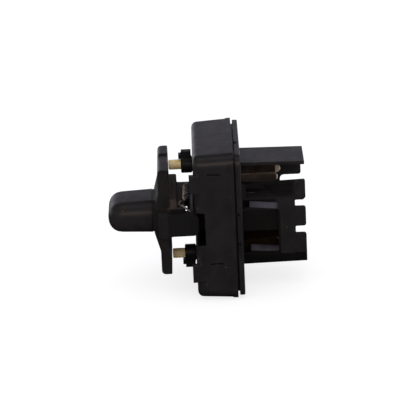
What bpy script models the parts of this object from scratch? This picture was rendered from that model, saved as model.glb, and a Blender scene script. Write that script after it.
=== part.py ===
"""Power window switch: a rocker with a finger knob, two plungers, a moulded case and a plug-in shroud.

The knob's axis runs along X, the finger end towards -X and the connector towards +X. Z is up, and the
case stands on the ground plane. Sizes are in metres, and heights count from the knob's axis.
"""

import math

import bmesh
import bpy
from mathutils import Matrix, Vector

mm = 0.001

# Case: a drafted box that opens to the rear
case_front_x = -4.0 * mm
case_length = 13.13 * mm
case_half_depth = 21.55 * mm
case_half_height = 25.0 * mm
case_draft = 0.6 * mm
case_corner = 3.6 * mm
case_front_round = 1.7 * mm
case_wall = 1.6 * mm
case_front_wall = 1.8 * mm
rim_length = 1.7 * mm
rim_step = 0.15 * mm

# Channel across the case front, with the block that carries the rocker
channel_half_height = 5.5 * mm
channel_depth = 3.28 * mm
channel_wall = 1.5 * mm
channel_sill_round = 1.3 * mm
channel_mouth_gap = 0.05 * mm
pivot_x = -4.4 * mm
trunnion_radius = 1.2 * mm
trunnion_length = 3.0 * mm
trunnion_clearance = 0.3 * mm
pivot_block_wall = 0.5 * mm
pivot_block_half_height = 3.2 * mm
pivot_block_gap = 0.6 * mm

# Latch pads on one side of the case
latch_inner_z = 12.25 * mm
latch_width = 6.15 * mm
latch_lip = 1.36 * mm
latch_length = 10.16 * mm
latch_proud = 0.2 * mm
latch_depth = 1.9 * mm
latch_edge_round = 0.3 * mm
latch_groove = 0.4 * mm
latch_groove_length = 4.3 * mm
latch_groove_depth = 0.9 * mm

# Rocker
plate_back_x = -12.2 * mm
plate_thickness = 3.4 * mm
plate_half_depth = 12.7 * mm
plate_half_height = 18.1 * mm
plate_end_round = 1.3 * mm
plate_rim_round = 0.7 * mm
plate_groove_width = 3.8 * mm
plate_groove_offset = 2.6 * mm
plate_groove_depth = 0.5 * mm
crown_rise = 1.75 * mm
crown_flat = 3.4 * mm
crown_foot = 9.9 * mm
upper_lug_length = 2.5 * mm
upper_lug_z = 7.9 * mm
lower_lug_length = 2.6 * mm
lower_lug_z = 5.0 * mm
lug_foot_z = -4.6 * mm
lug_step = 0.1 * mm
lug_pocket_wall = 1.7 * mm
lug_pocket_depth = 4.6 * mm
lug_pocket_count = 4
cheek_thickness = 3.5 * mm
cheek_sink = 0.2 * mm
cheek_half_height = 3.8 * mm
cheek_shoulder = 0.6 * mm
cheek_front_x = -16.0 * mm
cheek_reach = 1.7 * mm
cheek_round = 2.0 * mm

# Knob: a stem on the rocker and a cap pressed over it
collar_length = 0.5 * mm
collar_edge = 0.1 * mm
knob_seam = 0.25 * mm
knob_length = 14.4 * mm
shoulder_inset = 0.5 * mm
shoulder_length = 0.7 * mm
knob_half_depth = 9.7 * mm
knob_half_height = 5.5 * mm
knob_taper_depth = 0.5 * mm
knob_taper_height = 0.65 * mm
knob_tip_round = 4.5 * mm
knob_tip_fullness = 2.3
knob_side_round = 0.84
knob_wall = 1.5 * mm
stem_length = 9.5 * mm
stem_clearance = 0.3 * mm

# Plungers, their guides and what they carry
plunger_z = 15.6 * mm
plunger_radius = 1.65 * mm
plunger_tip_gap = 0.3 * mm
plunger_tip_round = 0.35 * mm
plunger_flange_x = 0.3 * mm
plunger_flange_length = 1.0 * mm
plunger_flange_radius = 3.0 * mm
plunger_tail_radius = 1.0 * mm
plunger_tail_length = 1.8 * mm
guide_front_x = -7.85 * mm
guide_radius = 2.9 * mm
guide_bore_clearance = 0.3 * mm
guide_seat_gap = 0.3 * mm
guide_spigot_radius = 2.5 * mm
guide_ear_reach = 4.75 * mm
guide_ear_half_width = 1.3 * mm
guide_ear_step = 0.15 * mm
guide_hook_height = 0.75 * mm
guide_hook_inner = 2.2 * mm
guide_hook_width = 1.5 * mm
bridge_gap = 0.3 * mm
bridge_thickness = 0.4 * mm
bridge_half_depth = 6.0 * mm
bridge_top_margin = 1.8 * mm
bridge_foot_margin = 1.6 * mm
bridge_dome_radius = 0.9 * mm
bridge_dome_height = 0.55 * mm
plunger_spring_radius = 1.6 * mm
plunger_spring_wire = 0.2 * mm
plunger_spring_turns = 4

# Return spring in the gap between the rocker and the case
return_spring_x = -6.9 * mm
return_spring_radius = 1.1 * mm
return_spring_wire = 0.25 * mm
return_spring_near_y = -6.2 * mm
return_spring_far_y = 3.4 * mm
return_spring_turns = 4
spring_seat_gap = 0.3 * mm

# Rear cover
seam_gap = 0.59 * mm
cover_thickness = 1.71 * mm
cover_half_depth = 20.95 * mm
cover_half_height = 24.25 * mm
cover_corner = 3.2 * mm
cover_edge_round = 0.35 * mm
spigot_length = 1.8 * mm
spigot_wall = 1.4 * mm
fit_clearance = 0.3 * mm
notch_width = 1.0 * mm
notch_depth = 0.9 * mm
notch_length = 0.8 * mm
side_notch_high_z = 4.65 * mm
side_notch_low_z = -5.7 * mm
end_notch_y = -6.0 * mm

# Connector shroud
shroud_length = 21.07 * mm
shroud_half_depth = 8.9 * mm
shroud_half_height = 17.45 * mm
shroud_draft = 0.35 * mm
shroud_wall = 1.0 * mm
shroud_top_wall = 1.2 * mm
shroud_top_near_y = -6.6 * mm
window_root = 0.4 * mm
window_length = 11.5 * mm
window_low_z = -13.4 * mm
window_high_z = 5.15 * mm
slot_root = 1.6 * mm
slot_length = 10.8 * mm
slot_low_z = 7.8 * mm
slot_high_z = 10.0 * mm
panel_root = 4.4 * mm
panel_length = 14.3 * mm
panel_depth = 0.4 * mm
panel_margin = 0.35 * mm
near_wall_root_z = 10.1 * mm
near_wall_shoulder_z = 11.1 * mm
near_wall_shoulder_length = 7.0 * mm
near_wall_top_z = 11.5 * mm
tab_length = 3.5 * mm
upper_notch_low_z = 2.25 * mm
upper_notch_high_z = 4.45 * mm
lower_notch_low_z = -7.0 * mm
lower_notch_high_z = -4.7 * mm
tab_round = 0.8 * mm
near_wall_chamfer = 0.7 * mm
near_wall_chamfer_height = 2.4 * mm
far_wall_length = 13.4 * mm
far_tab_low_z = 7.6 * mm
far_tab_length = 20.4 * mm
far_tab_fillet = 1.3 * mm
rib_root = 2.6 * mm
rib_thickness = 0.9 * mm
rib_fall = 1.0 * mm
upper_rib_z = 2.05 * mm
upper_rib_far_y = -1.8 * mm
lower_rib_z = -13.1 * mm
lower_rib_far_y = -1.2 * mm
rib_recess = 0.9 * mm
skirt_thickness = 0.9 * mm
skirt_low_z = -5.9 * mm
tab_face_z = 5.6 * mm
tab_face_depth = 0.25 * mm
gusset_length = 7.6 * mm
gusset_depth = 3.2 * mm

# Terminals and their board
board_front_x = 5.6 * mm
board_thickness = 1.4 * mm
board_margin = 0.9 * mm
board_corner = 1.0 * mm
blade_half_width = 1.4 * mm
blade_half_thickness = 0.4 * mm
blade_row_y = 4.25 * mm
blade_outer_z = 11.3 * mm
blade_inner_z = -3.8 * mm
near_blade_tip_x = 23.75 * mm
far_blade_tip_x = 24.9 * mm
blade_chamfer = 0.9 * mm
blade_slot_clearance = 0.3 * mm
contact_pad_half_size = 1.7 * mm
contact_pad_thickness = 0.4 * mm
contact_pad_gap = 0.3 * mm

# Derived places
axis_height = case_half_height
case_rear_x = case_front_x + case_length
rim_x = case_rear_x - rim_length
channel_floor_x = case_front_x + channel_depth
cover_front_x = case_rear_x + seam_gap
cover_rear_x = cover_front_x + cover_thickness
shroud_end_x = cover_rear_x + shroud_length
plate_front_x = plate_back_x - plate_thickness
crown_x = plate_front_x - crown_rise
upper_lug_x = plate_back_x + upper_lug_length
lower_lug_x = upper_lug_x + lower_lug_length
cheek_end_x = pivot_x + cheek_reach
collar_x = crown_x - collar_length
knob_base_x = collar_x - knob_seam
flange_back_x = plunger_flange_x + plunger_flange_length
bridge_front_x = flange_back_x + bridge_gap
bridge_back_x = bridge_front_x + bridge_thickness
contact_pad_x = board_front_x - contact_pad_gap - contact_pad_thickness
round_steps = 24

for old in list(bpy.data.objects):
    bpy.data.objects.remove(old)

model = bpy.data.collections.new("power_window_switch")
tools = bpy.data.collections.new("cutters")
bpy.context.scene.collection.children.link(model)
bpy.context.scene.collection.children.link(tools)


def material(name, color, roughness, metallic=0.0):
    made = bpy.data.materials.new(name)
    made.use_nodes = True
    shader = made.node_tree.nodes["Principled BSDF"]
    shader.inputs["Base Color"].default_value = (*color, 1.0)
    shader.inputs["Roughness"].default_value = roughness
    shader.inputs["Metallic"].default_value = metallic
    made.diffuse_color = (*color, 1.0)
    return made


def add_empty(name, x, z):
    """An empty on a joint's axis, at a place counted from the knob's axis."""
    empty = bpy.data.objects.new(name, None)
    empty.location = (x, 0.0, axis_height + z)
    empty.empty_display_size = 4.0 * mm
    model.objects.link(empty)
    return empty


def ride(piece, carrier):
    """The piece keeps its place in the world and turns or slides with the carrier."""
    piece.parent = carrier
    piece.matrix_parent_inverse = Matrix.Translation(carrier.location).inverted()


def finish(name, bm, look=None, smooth_angle=35.0):
    """The finished mesh as an object: a piece of the model with a look, a cutter without one."""
    bmesh.ops.recalc_face_normals(bm, faces=bm.faces)
    mesh = bpy.data.meshes.new(name)
    bm.to_mesh(mesh)
    bm.free()
    mesh.shade_smooth()
    mesh.set_sharp_from_angle(angle=math.radians(smooth_angle))
    piece = bpy.data.objects.new(name, mesh)
    piece.location = (0.0, 0.0, axis_height)
    if look is None:
        tools.objects.link(piece)
        piece.hide_render = True
        piece.display_type = "WIRE"
    else:
        model.objects.link(piece)
        mesh.materials.append(look)
    return piece


def combine(piece, tool, operation):
    step = piece.modifiers.new(tool.name, "BOOLEAN")
    step.operation = operation
    step.solver = "EXACT"
    step.object = tool


def cut(piece, bm, label):
    combine(piece, finish(piece.name + "_" + label, bm), "DIFFERENCE")


def join(piece, bm, label):
    combine(piece, finish(piece.name + "_" + label, bm), "UNION")


def add_block(bm, low, high):
    """A box between two corners."""
    low, high = Vector(low), Vector(high)
    verts = bmesh.ops.create_cube(bm, size=1.0)["verts"]
    bmesh.ops.scale(bm, vec=high - low, verts=verts)
    bmesh.ops.translate(bm, vec=(low + high) / 2, verts=verts)
    return verts


def add_tapered(bm, x_low, x_high, half_low, half_high):
    """A box about the knob's axis whose half depth and half height change along X."""
    verts = add_block(bm, (x_low, -half_low[0], -half_low[1]), (x_high, half_low[0], half_low[1]))
    far = [v for v in verts if v.co.x > (x_low + x_high) / 2]
    bmesh.ops.scale(bm, vec=(1.0, half_high[0] / half_low[0], half_high[1] / half_low[1]), verts=far)
    return verts


def add_rod(bm, axis, centre, low, high, radius, end_radius=None, steps=round_steps):
    """A round bar or cone along X or Y, between two places on its axis."""
    made = bmesh.ops.create_cone(
        bm, cap_ends=True, segments=steps, radius1=radius,
        radius2=radius if end_radius is None else end_radius, depth=high - low)["verts"]
    middle = (low + high) / 2
    if axis == "X":
        turn = Matrix.Rotation(math.radians(90), 3, "Y")
        place = (middle, centre[0], centre[1])
    else:
        turn = Matrix.Rotation(math.radians(-90), 3, "X")
        place = (centre[0], middle, centre[1])
    bmesh.ops.rotate(bm, matrix=turn, verts=made)
    bmesh.ops.translate(bm, vec=place, verts=made)
    return made


def round_edges(bm, chosen, radius, segments):
    bmesh.ops.bevel(
        bm, geom=chosen, offset=radius, segments=segments, profile=0.5, affect="EDGES", clamp_overlap=True)


def edges_along(bm, axis):
    """Edges that run mostly along one axis."""
    found = []
    for edge in bm.edges:
        step = edge.verts[1].co - edge.verts[0].co
        if abs(step[axis]) > 0.9 * step.length:
            found.append(edge)
    return found


def edges_at_x(bm, x):
    """Edges that lie in the plane at x."""
    return [e for e in bm.edges if all(abs(v.co.x - x) < 0.001 * mm for v in e.verts)]


def rounded_box(bm, x_low, x_high, half_low, half_high, corner, corner_steps=4):
    """A box about the knob's axis, tapered along X, with its long edges rounded."""
    add_tapered(bm, x_low, x_high, half_low, half_high)
    round_edges(bm, edges_along(bm, 0), corner, corner_steps)


def fillet(points, steps=4):
    """An outline's points, each (u, v, radius), with an arc of that radius at every corner."""
    outline = []
    for i, (u, v, radius) in enumerate(points):
        here = Vector((u, v))
        before = Vector(points[i - 1][:2]) - here
        after = Vector(points[(i + 1) % len(points)][:2]) - here
        if radius <= 0.0:
            outline.append(here)
            continue
        half_angle = before.angle(after) / 2
        reach = min(radius / math.tan(half_angle), 0.49 * before.length, 0.49 * after.length)
        start, end = here + before.normalized() * reach, here + after.normalized() * reach
        bend = reach * math.tan(half_angle)
        centre = here + (before.normalized() + after.normalized()).normalized() * math.hypot(reach, bend)
        first, last = start - centre, end - centre
        swing = first.angle_signed(last)
        for k in range(steps + 1):
            turn = Matrix.Rotation(-swing * k / steps, 2)
            outline.append(centre + turn @ first)
    return outline


def add_outline(bm, outlines, low, high, plane):
    """A flat plate from closed outlines in the XZ or XY plane; the outlines after the first are holes."""
    curve = bpy.data.curves.new("outline", "CURVE")
    curve.dimensions = "2D"
    curve.fill_mode = "BOTH"
    curve.extrude = (high - low) / 2
    for points in outlines:
        spline = curve.splines.new("POLY")
        spline.points.add(len(points) - 1)
        spline.use_cyclic_u = True
        for point, (u, v) in zip(spline.points, points):
            point.co = (u, v, 0.0, 1.0)
    drawn = bpy.data.objects.new("outline", curve)
    tools.objects.link(drawn)
    bpy.context.view_layer.update()
    flat = bpy.data.meshes.new_from_object(drawn.evaluated_get(bpy.context.evaluated_depsgraph_get()))
    earlier = set(bm.verts)
    bm.from_mesh(flat)
    bmesh.ops.remove_doubles(bm, verts=[v for v in bm.verts if v not in earlier], dist=0.001 * mm)
    made = [v for v in bm.verts if v not in earlier]
    if plane == "XZ":
        bmesh.ops.rotate(bm, matrix=Matrix.Rotation(math.radians(90), 3, "X"), verts=made)
        bmesh.ops.translate(bm, vec=(0.0, (low + high) / 2, 0.0), verts=made)
    else:
        bmesh.ops.translate(bm, vec=(0.0, 0.0, (low + high) / 2), verts=made)
    bpy.data.objects.remove(drawn)
    bpy.data.curves.remove(curve)
    bpy.data.meshes.remove(flat)
    return made


def wire(name, points, radius, look):
    """A bent wire with closed ends."""
    curve = bpy.data.curves.new(name, "CURVE")
    curve.dimensions = "3D"
    curve.bevel_depth = radius
    curve.bevel_resolution = 2
    curve.use_fill_caps = True
    spline = curve.splines.new("POLY")
    spline.points.add(len(points) - 1)
    for point, place in zip(spline.points, points):
        point.co = (*place, 1.0)
    piece = bpy.data.objects.new(name, curve)
    piece.location = (0.0, 0.0, axis_height)
    curve.materials.append(look)
    model.objects.link(piece)
    return piece


def turned(name, profile, z, look):
    """A round piece about an axis along X: profile points are (x, radius), from the -X end on."""
    mesh = bpy.data.meshes.new(name)
    points = [(radius, 0.0, -x) for x, radius in profile]
    mesh.from_pydata(points, [(i, i + 1) for i in range(len(points) - 1)], [])
    mesh.materials.append(look)
    piece = bpy.data.objects.new(name, mesh)
    piece.rotation_euler = (0.0, math.radians(-90), 0.0)
    piece.location = (0.0, 0.0, axis_height + z)
    model.objects.link(piece)
    screw = piece.modifiers.new("turn", "SCREW")
    screw.axis = "Z"
    screw.steps = round_steps
    screw.render_steps = round_steps
    screw.use_merge_vertices = True
    screw.merge_threshold = 0.00001
    screw.use_smooth_shade = True
    return piece


def soft_section(half_depth, half_height, radius, steps):
    """Points round a rounded rectangle about the knob's axis, as (y, z)."""
    points = []
    corners = ((1, 1, 0.0), (-1, 1, 90.0), (-1, -1, 180.0), (1, -1, 270.0))
    for side_y, side_z, start in corners:
        for k in range(steps + 1):
            angle = math.radians(start + 90.0 * k / steps)
            points.append((
                side_y * (half_depth - radius) + radius * math.cos(angle),
                side_z * (half_height - radius) + radius * math.sin(angle)))
    return points


def loft(bm, sections):
    """A closed solid through sections of equal point counts, each (x, points)."""
    rings = [[bm.verts.new((x, y, z)) for y, z in points] for x, points in sections]
    for near, far in zip(rings, rings[1:]):
        count = len(near)
        for k in range(count):
            bm.faces.new((near[k], near[(k + 1) % count], far[(k + 1) % count], far[k]))
    bm.faces.new(rings[0])
    bm.faces.new(rings[-1])


def case_half(x, inset=0.0):
    """Half depth and half height of the drafted case at x, less an inset all round."""
    share = (case_rear_x - x) / case_length
    return (
        case_half_depth - case_draft * share - inset,
        case_half_height - case_draft * share - inset)


def shroud_half_height_at(x):
    return shroud_half_height - shroud_draft * (x - cover_rear_x) / shroud_length


black_case = material("black_glass_filled_plastic", (0.030, 0.029, 0.031), 0.42)
black_cover = material("black_cover_plastic", (0.032, 0.031, 0.033), 0.45)
black_rocker = material("black_rocker_plastic", (0.028, 0.027, 0.028), 0.40)
black_knob = material("soft_black_knob_plastic", (0.030, 0.028, 0.028), 0.50)
deep_black = material("deep_black_bush_plastic", (0.008, 0.008, 0.009), 0.38)
cream = material("cream_acetal", (0.62, 0.55, 0.38), 0.35)
copper = material("copper_alloy_blade", (0.55, 0.30, 0.18), 0.35, 1.0)
brass = material("brass_spring_strip", (0.72, 0.52, 0.25), 0.32, 1.0)
steel = material("spring_steel", (0.55, 0.54, 0.52), 0.30, 1.0)
board_plastic = material("dark_board_plastic", (0.05, 0.045, 0.04), 0.55)


def make_case():
    bm = bmesh.new()
    rounded_box(
        bm, case_front_x, rim_x, case_half(case_front_x, rim_step), case_half(rim_x, rim_step), case_corner)
    round_edges(bm, edges_at_x(bm, case_front_x), case_front_round, 3)
    case = finish("front_housing", bm, black_case)

    bm = bmesh.new()
    rounded_box(
        bm, rim_x - 0.5 * case_wall, case_rear_x, case_half(rim_x), case_half(case_rear_x), case_corner)
    for vert in bm.verts:
        if vert.co.x < rim_x:
            vert.co.x = rim_x
    join(case, bm, "rim")

    cavity_front_x = case_front_x + case_front_wall
    cavity_rear_x = case_rear_x + 0.5 * case_length
    bm = bmesh.new()
    rounded_box(
        bm, cavity_front_x, cavity_rear_x, case_half(cavity_front_x, rim_step + case_wall),
        case_half(cavity_rear_x, rim_step + case_wall), max(case_corner - case_wall, 0.3 * mm), 3)
    cut(case, bm, "cavity")

    tray_half_depth = case_half(case_front_x, rim_step + 0.5 * case_wall)[0]
    bm = bmesh.new()
    add_block(
        bm, (case_front_x + 0.5 * case_front_wall, -tray_half_depth, -channel_half_height - channel_wall),
        (channel_floor_x + channel_wall, tray_half_depth, channel_half_height + channel_wall))
    join(case, bm, "tray")

    mouth_x = case_front_x - channel_mouth_gap
    mouth_half_height = channel_half_height + 2 * channel_sill_round
    channel = fillet((
        (case_front_x - channel_depth, -mouth_half_height, 0.0),
        (mouth_x, -mouth_half_height, 0.0),
        (mouth_x, -channel_half_height, channel_sill_round),
        (channel_floor_x, -channel_half_height, 0.0),
        (channel_floor_x, channel_half_height, 0.0),
        (mouth_x, channel_half_height, channel_sill_round),
        (mouth_x, mouth_half_height, 0.0),
        (case_front_x - channel_depth, mouth_half_height, 0.0)))
    bm = bmesh.new()
    add_outline(bm, [channel], -2 * case_half_depth, 2 * case_half_depth, "XZ")
    cut(case, bm, "channel")

    block_half_depth = plate_half_depth - pivot_block_gap
    bore_radius = trunnion_radius + trunnion_clearance
    bm = bmesh.new()
    add_block(
        bm, (pivot_x - bore_radius - pivot_block_wall, -block_half_depth, -pivot_block_half_height),
        (channel_floor_x + 0.5 * channel_wall, block_half_depth, pivot_block_half_height))
    front = pivot_x - bore_radius - pivot_block_wall
    corners = [e for e in edges_along(bm, 1) if e.verts[0].co.x < front + 0.1 * mm]
    round_edges(bm, corners, min(1.6 * mm, 0.5 * pivot_block_half_height), 3)
    join(case, bm, "pivot_block")

    bm = bmesh.new()
    add_rod(bm, "Y", (pivot_x, 0.0), -2 * block_half_depth, 2 * block_half_depth, bore_radius)
    cut(case, bm, "pivot_bore")

    bm = bmesh.new()
    for side in (-1, 1):
        add_rod(
            bm, "X", (0.0, side * plunger_z), case_front_x - case_front_wall,
            cavity_front_x + 0.2 * case_front_wall, guide_spigot_radius + fit_clearance)
    cut(case, bm, "guide_holes")

    latch_face_y = -case_half(case_front_x, rim_step)[0] - latch_proud
    latch_rear_x = case_front_x - latch_lip + latch_length
    latch_back_y = latch_face_y + latch_depth
    bm = bmesh.new()
    for side in (-1, 1):
        low_z, high_z = sorted((side * latch_inner_z, side * (latch_inner_z + latch_width)))
        add_block(
            bm, (case_front_x - latch_lip, latch_face_y, low_z), (latch_rear_x, latch_back_y, high_z))
    outer_edges = [e for e in bm.edges if max(v.co.y for v in e.verts) < latch_face_y + 0.01 * mm]
    round_edges(bm, outer_edges, latch_edge_round, 2)
    join(case, bm, "latches")

    bm = bmesh.new()
    for top_z in (-latch_inner_z, latch_inner_z + latch_width):
        add_block(
            bm, (latch_rear_x - latch_groove_length, latch_face_y - latch_depth, top_z),
            (latch_rear_x, latch_face_y + latch_proud + latch_groove_depth, top_z + latch_groove))
    cut(case, bm, "latch_grooves")
    return case


def knob_core(reach, inset):
    """The knob's section at a distance from its base, less an inset all round."""
    share = reach / knob_length
    half_depth = knob_half_depth - knob_taper_depth * share - inset
    half_height = knob_half_height - knob_taper_height * share - inset
    return soft_section(half_depth, half_height, knob_side_round * half_height, 3)


def make_rocker(pivot):
    crown_slope = (
        (plate_back_x, -plate_half_height, 0.4 * mm),
        (plate_back_x, plate_half_height, 0.4 * mm),
        (plate_front_x, plate_half_height, plate_end_round),
        (plate_front_x, crown_foot, 3.0 * mm),
        (crown_x, crown_flat, 2.5 * mm),
        (crown_x, -crown_flat, 2.5 * mm),
        (plate_front_x, -crown_foot, 3.0 * mm),
        (plate_front_x, -plate_half_height, plate_end_round))
    bm = bmesh.new()
    add_outline(bm, [fillet(crown_slope)], -plate_half_depth, plate_half_depth, "XZ")
    rocker = finish("rocker", bm, black_rocker)
    rims = rocker.modifiers.new("rims", "BEVEL")
    rims.width = plate_rim_round
    rims.segments = 2
    rims.limit_method = "ANGLE"
    rims.angle_limit = math.radians(60)

    lug_half_depth = plate_half_depth + lug_step
    lugs = fillet((
        (plate_back_x - 0.5 * plate_thickness, lug_foot_z, 0.0),
        (lower_lug_x, lug_foot_z, 0.4 * mm),
        (lower_lug_x, lower_lug_z, 0.4 * mm),
        (upper_lug_x, lower_lug_z, 0.3 * mm),
        (upper_lug_x, upper_lug_z, 0.4 * mm),
        (plate_back_x - 0.5 * plate_thickness, upper_lug_z, 0.0)), 2)
    bm = bmesh.new()
    add_outline(bm, [lugs], -lug_half_depth, lug_half_depth, "XZ")
    join(rocker, bm, "lugs")

    wide = cheek_half_height + cheek_shoulder
    cheek = fillet((
        (cheek_front_x, -wide, 1.2 * mm),
        (plate_back_x, -wide, 0.4 * mm),
        (plate_back_x + cheek_shoulder, -cheek_half_height, 0.8 * mm),
        (cheek_end_x, -cheek_half_height, cheek_round),
        (cheek_end_x, cheek_half_height, cheek_round),
        (plate_back_x + cheek_shoulder, cheek_half_height, 0.8 * mm),
        (plate_back_x, wide, 0.4 * mm),
        (cheek_front_x, wide, 1.2 * mm)))
    cheek_inner, cheek_outer = plate_half_depth - cheek_sink, plate_half_depth + cheek_thickness
    bm = bmesh.new()
    add_outline(bm, [cheek], cheek_inner, cheek_outer, "XZ")
    add_outline(bm, [cheek], -cheek_outer, -cheek_inner, "XZ")
    join(rocker, bm, "cheeks")

    bm = bmesh.new()
    trunnion_inner, trunnion_outer = cheek_inner - trunnion_length, cheek_inner + 0.5 * cheek_thickness
    add_rod(bm, "Y", (pivot_x, 0.0), trunnion_inner, trunnion_outer, trunnion_radius)
    add_rod(bm, "Y", (pivot_x, 0.0), -trunnion_outer, -trunnion_inner, trunnion_radius)
    join(rocker, bm, "trunnions")

    collar_half = (knob_half_depth - collar_edge, knob_half_height - collar_edge)
    collar = soft_section(*collar_half, knob_side_round * collar_half[1], 6)
    bm = bmesh.new()
    loft(bm, [(collar_x, collar), (crown_x + crown_rise, collar)])
    join(rocker, bm, "collar")

    stem_root, stem_tip = (knob_core(reach, knob_wall + stem_clearance) for reach in (0.0, stem_length))
    bm = bmesh.new()
    loft(bm, [(knob_base_x - stem_length, stem_tip), (knob_base_x, stem_root), (crown_x, stem_root)])
    join(rocker, bm, "stem")
    shoulder = knob_core(0.0, shoulder_inset)
    bm = bmesh.new()
    loft(bm, [(knob_base_x - shoulder_length, shoulder), (collar_x + 0.5 * collar_length, shoulder)])
    join(rocker, bm, "shoulder")

    pocket_step = 2 * (plate_half_depth - lug_pocket_wall) / lug_pocket_count
    bm = bmesh.new()
    for k in range(lug_pocket_count):
        low_y = lug_pocket_wall - plate_half_depth + k * pocket_step + 0.5 * lug_pocket_wall
        add_block(
            bm, (lower_lug_x - lug_pocket_depth, low_y, lug_foot_z + lug_pocket_wall),
            (lower_lug_x + lug_pocket_depth, low_y + pocket_step - lug_pocket_wall,
             lower_lug_z - lug_pocket_wall))
    cut(rocker, bm, "lug_pockets")

    bm = bmesh.new()
    for side in (-1, 1):
        low_z, high_z = sorted((
            side * (plate_half_height - plate_groove_depth), side * (plate_half_height + plate_groove_depth)))
        add_block(
            bm, (plate_front_x - plate_thickness, plate_groove_offset - plate_groove_width / 2, low_z),
            (plate_back_x + plate_thickness, plate_groove_offset + plate_groove_width / 2, high_z))
    cut(rocker, bm, "end_grooves")
    ride(rocker, pivot)
    return rocker


def make_knob_cap(pivot):
    sections = []
    body_length = knob_length - knob_tip_round
    stations = [(body_length * share, 1.0) for share in (0.0, 0.5, 1.0)]
    for degrees in (18, 34, 48, 60, 70, 78, 84):
        angle = math.radians(degrees)
        stations.append((
            body_length + knob_tip_round * math.sin(angle) ** (2 / knob_tip_fullness),
            math.cos(angle) ** (2 / knob_tip_fullness)))
    for reach, shrink in stations:
        full_height = knob_half_height - knob_taper_height * reach / knob_length
        full_depth = knob_half_depth - knob_taper_depth * reach / knob_length
        lost = full_height * (1 - shrink)
        sections.append((knob_base_x - reach, soft_section(
            full_depth - lost, full_height - lost, knob_side_round * (full_height - lost), 6)))
    bm = bmesh.new()
    loft(bm, sections)
    cap = finish("knob_cap", bm, black_knob)

    socket_length = stem_length + stem_clearance
    mouth, bottom = (knob_core(reach, knob_wall) for reach in (0.0, socket_length))
    bm = bmesh.new()
    loft(bm, [
        (knob_base_x - socket_length, bottom), (knob_base_x, mouth), (knob_base_x + collar_length, mouth)])
    cut(cap, bm, "socket")
    rebate = knob_core(0.0, shoulder_inset - stem_clearance)
    rebate_x = knob_base_x - shoulder_length - stem_clearance
    bm = bmesh.new()
    loft(bm, [(rebate_x, rebate), (knob_base_x + collar_length, rebate)])
    cut(cap, bm, "rebate")
    ride(cap, pivot)
    return cap


def make_return_spring(pivot):
    shelf_z = lower_lug_z + spring_seat_gap + return_spring_wire
    centre_z = shelf_z + return_spring_radius
    points_per_turn = 12
    rest_z = cheek_half_height + spring_seat_gap + return_spring_wire
    wire_gap = spring_seat_gap + return_spring_wire
    points = [
        (lower_lug_x + 2 * wire_gap, -plate_half_depth - 0.45 * cheek_thickness, rest_z),
        (lower_lug_x + 0.8 * wire_gap, -plate_half_depth, shelf_z),
        (upper_lug_x + 1.4 * wire_gap, return_spring_near_y - 0.6 * mm, shelf_z)]
    total = return_spring_turns * points_per_turn
    for k in range(total + 1):
        angle = -math.pi / 2 - 2 * math.pi * k / points_per_turn
        points.append((
            return_spring_x + return_spring_radius * math.cos(angle),
            return_spring_near_y + (return_spring_far_y - return_spring_near_y) * k / total,
            centre_z + return_spring_radius * math.sin(angle)))
    points.append((
        case_front_x - 1.3 * mm, return_spring_far_y + 1.2 * mm, centre_z + 0.3 * mm))
    spring = wire("return_spring", points, return_spring_wire, steel)
    ride(spring, pivot)
    return spring


def make_guide(name, side):
    seat_x = case_front_x - guide_seat_gap
    bm = bmesh.new()
    add_rod(bm, "X", (0.0, side * plunger_z), guide_front_x, seat_x, guide_radius)
    round_edges(bm, edges_at_x(bm, guide_front_x), 0.4 * mm, 2)
    guide = finish(name, bm, deep_black)

    bm = bmesh.new()
    low_z, high_z = sorted((side * (plunger_z + plunger_radius), side * (plunger_z + guide_ear_reach)))
    add_block(
        bm, (guide_front_x + guide_ear_step, -guide_ear_half_width, low_z),
        (seat_x - guide_ear_step, guide_ear_half_width, high_z))
    join(guide, bm, "ear")
    bm = bmesh.new()
    hook_z = side * (plunger_z + guide_hook_inner)
    low_z, high_z = sorted((hook_z, hook_z + side * guide_hook_width))
    add_block(
        bm, (guide_front_x - guide_hook_height, -0.9 * guide_ear_half_width, low_z),
        (guide_front_x + guide_hook_height, 0.9 * guide_ear_half_width, high_z))
    join(guide, bm, "hook")
    bm = bmesh.new()
    add_rod(
        bm, "X", (0.0, side * plunger_z), seat_x - guide_seat_gap, case_front_x + case_front_wall,
        guide_spigot_radius)
    join(guide, bm, "spigot")
    bm = bmesh.new()
    add_rod(
        bm, "X", (0.0, side * plunger_z), guide_front_x - guide_radius,
        case_front_x + case_front_wall + guide_radius, plunger_radius + guide_bore_clearance)
    cut(guide, bm, "bore")
    return guide


def make_plunger(name, side, carrier):
    tip_x = plate_back_x + plunger_tip_gap
    tail_x = flange_back_x + plunger_tail_length
    profile = [
        (tip_x, 0.0),
        (tip_x, plunger_radius - plunger_tip_round),
        (tip_x + 0.3 * plunger_tip_round, plunger_radius - 0.3 * plunger_tip_round),
        (tip_x + plunger_tip_round, plunger_radius),
        (plunger_flange_x, plunger_radius),
        (plunger_flange_x, plunger_flange_radius),
        (flange_back_x, plunger_flange_radius),
        (flange_back_x, plunger_tail_radius),
        (tail_x - plunger_tip_round, plunger_tail_radius),
        (tail_x, plunger_tail_radius - plunger_tip_round),
        (tail_x, 0.0)]
    plunger = turned(name, profile, side * plunger_z, cream)
    ride(plunger, carrier)
    return plunger


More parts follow.
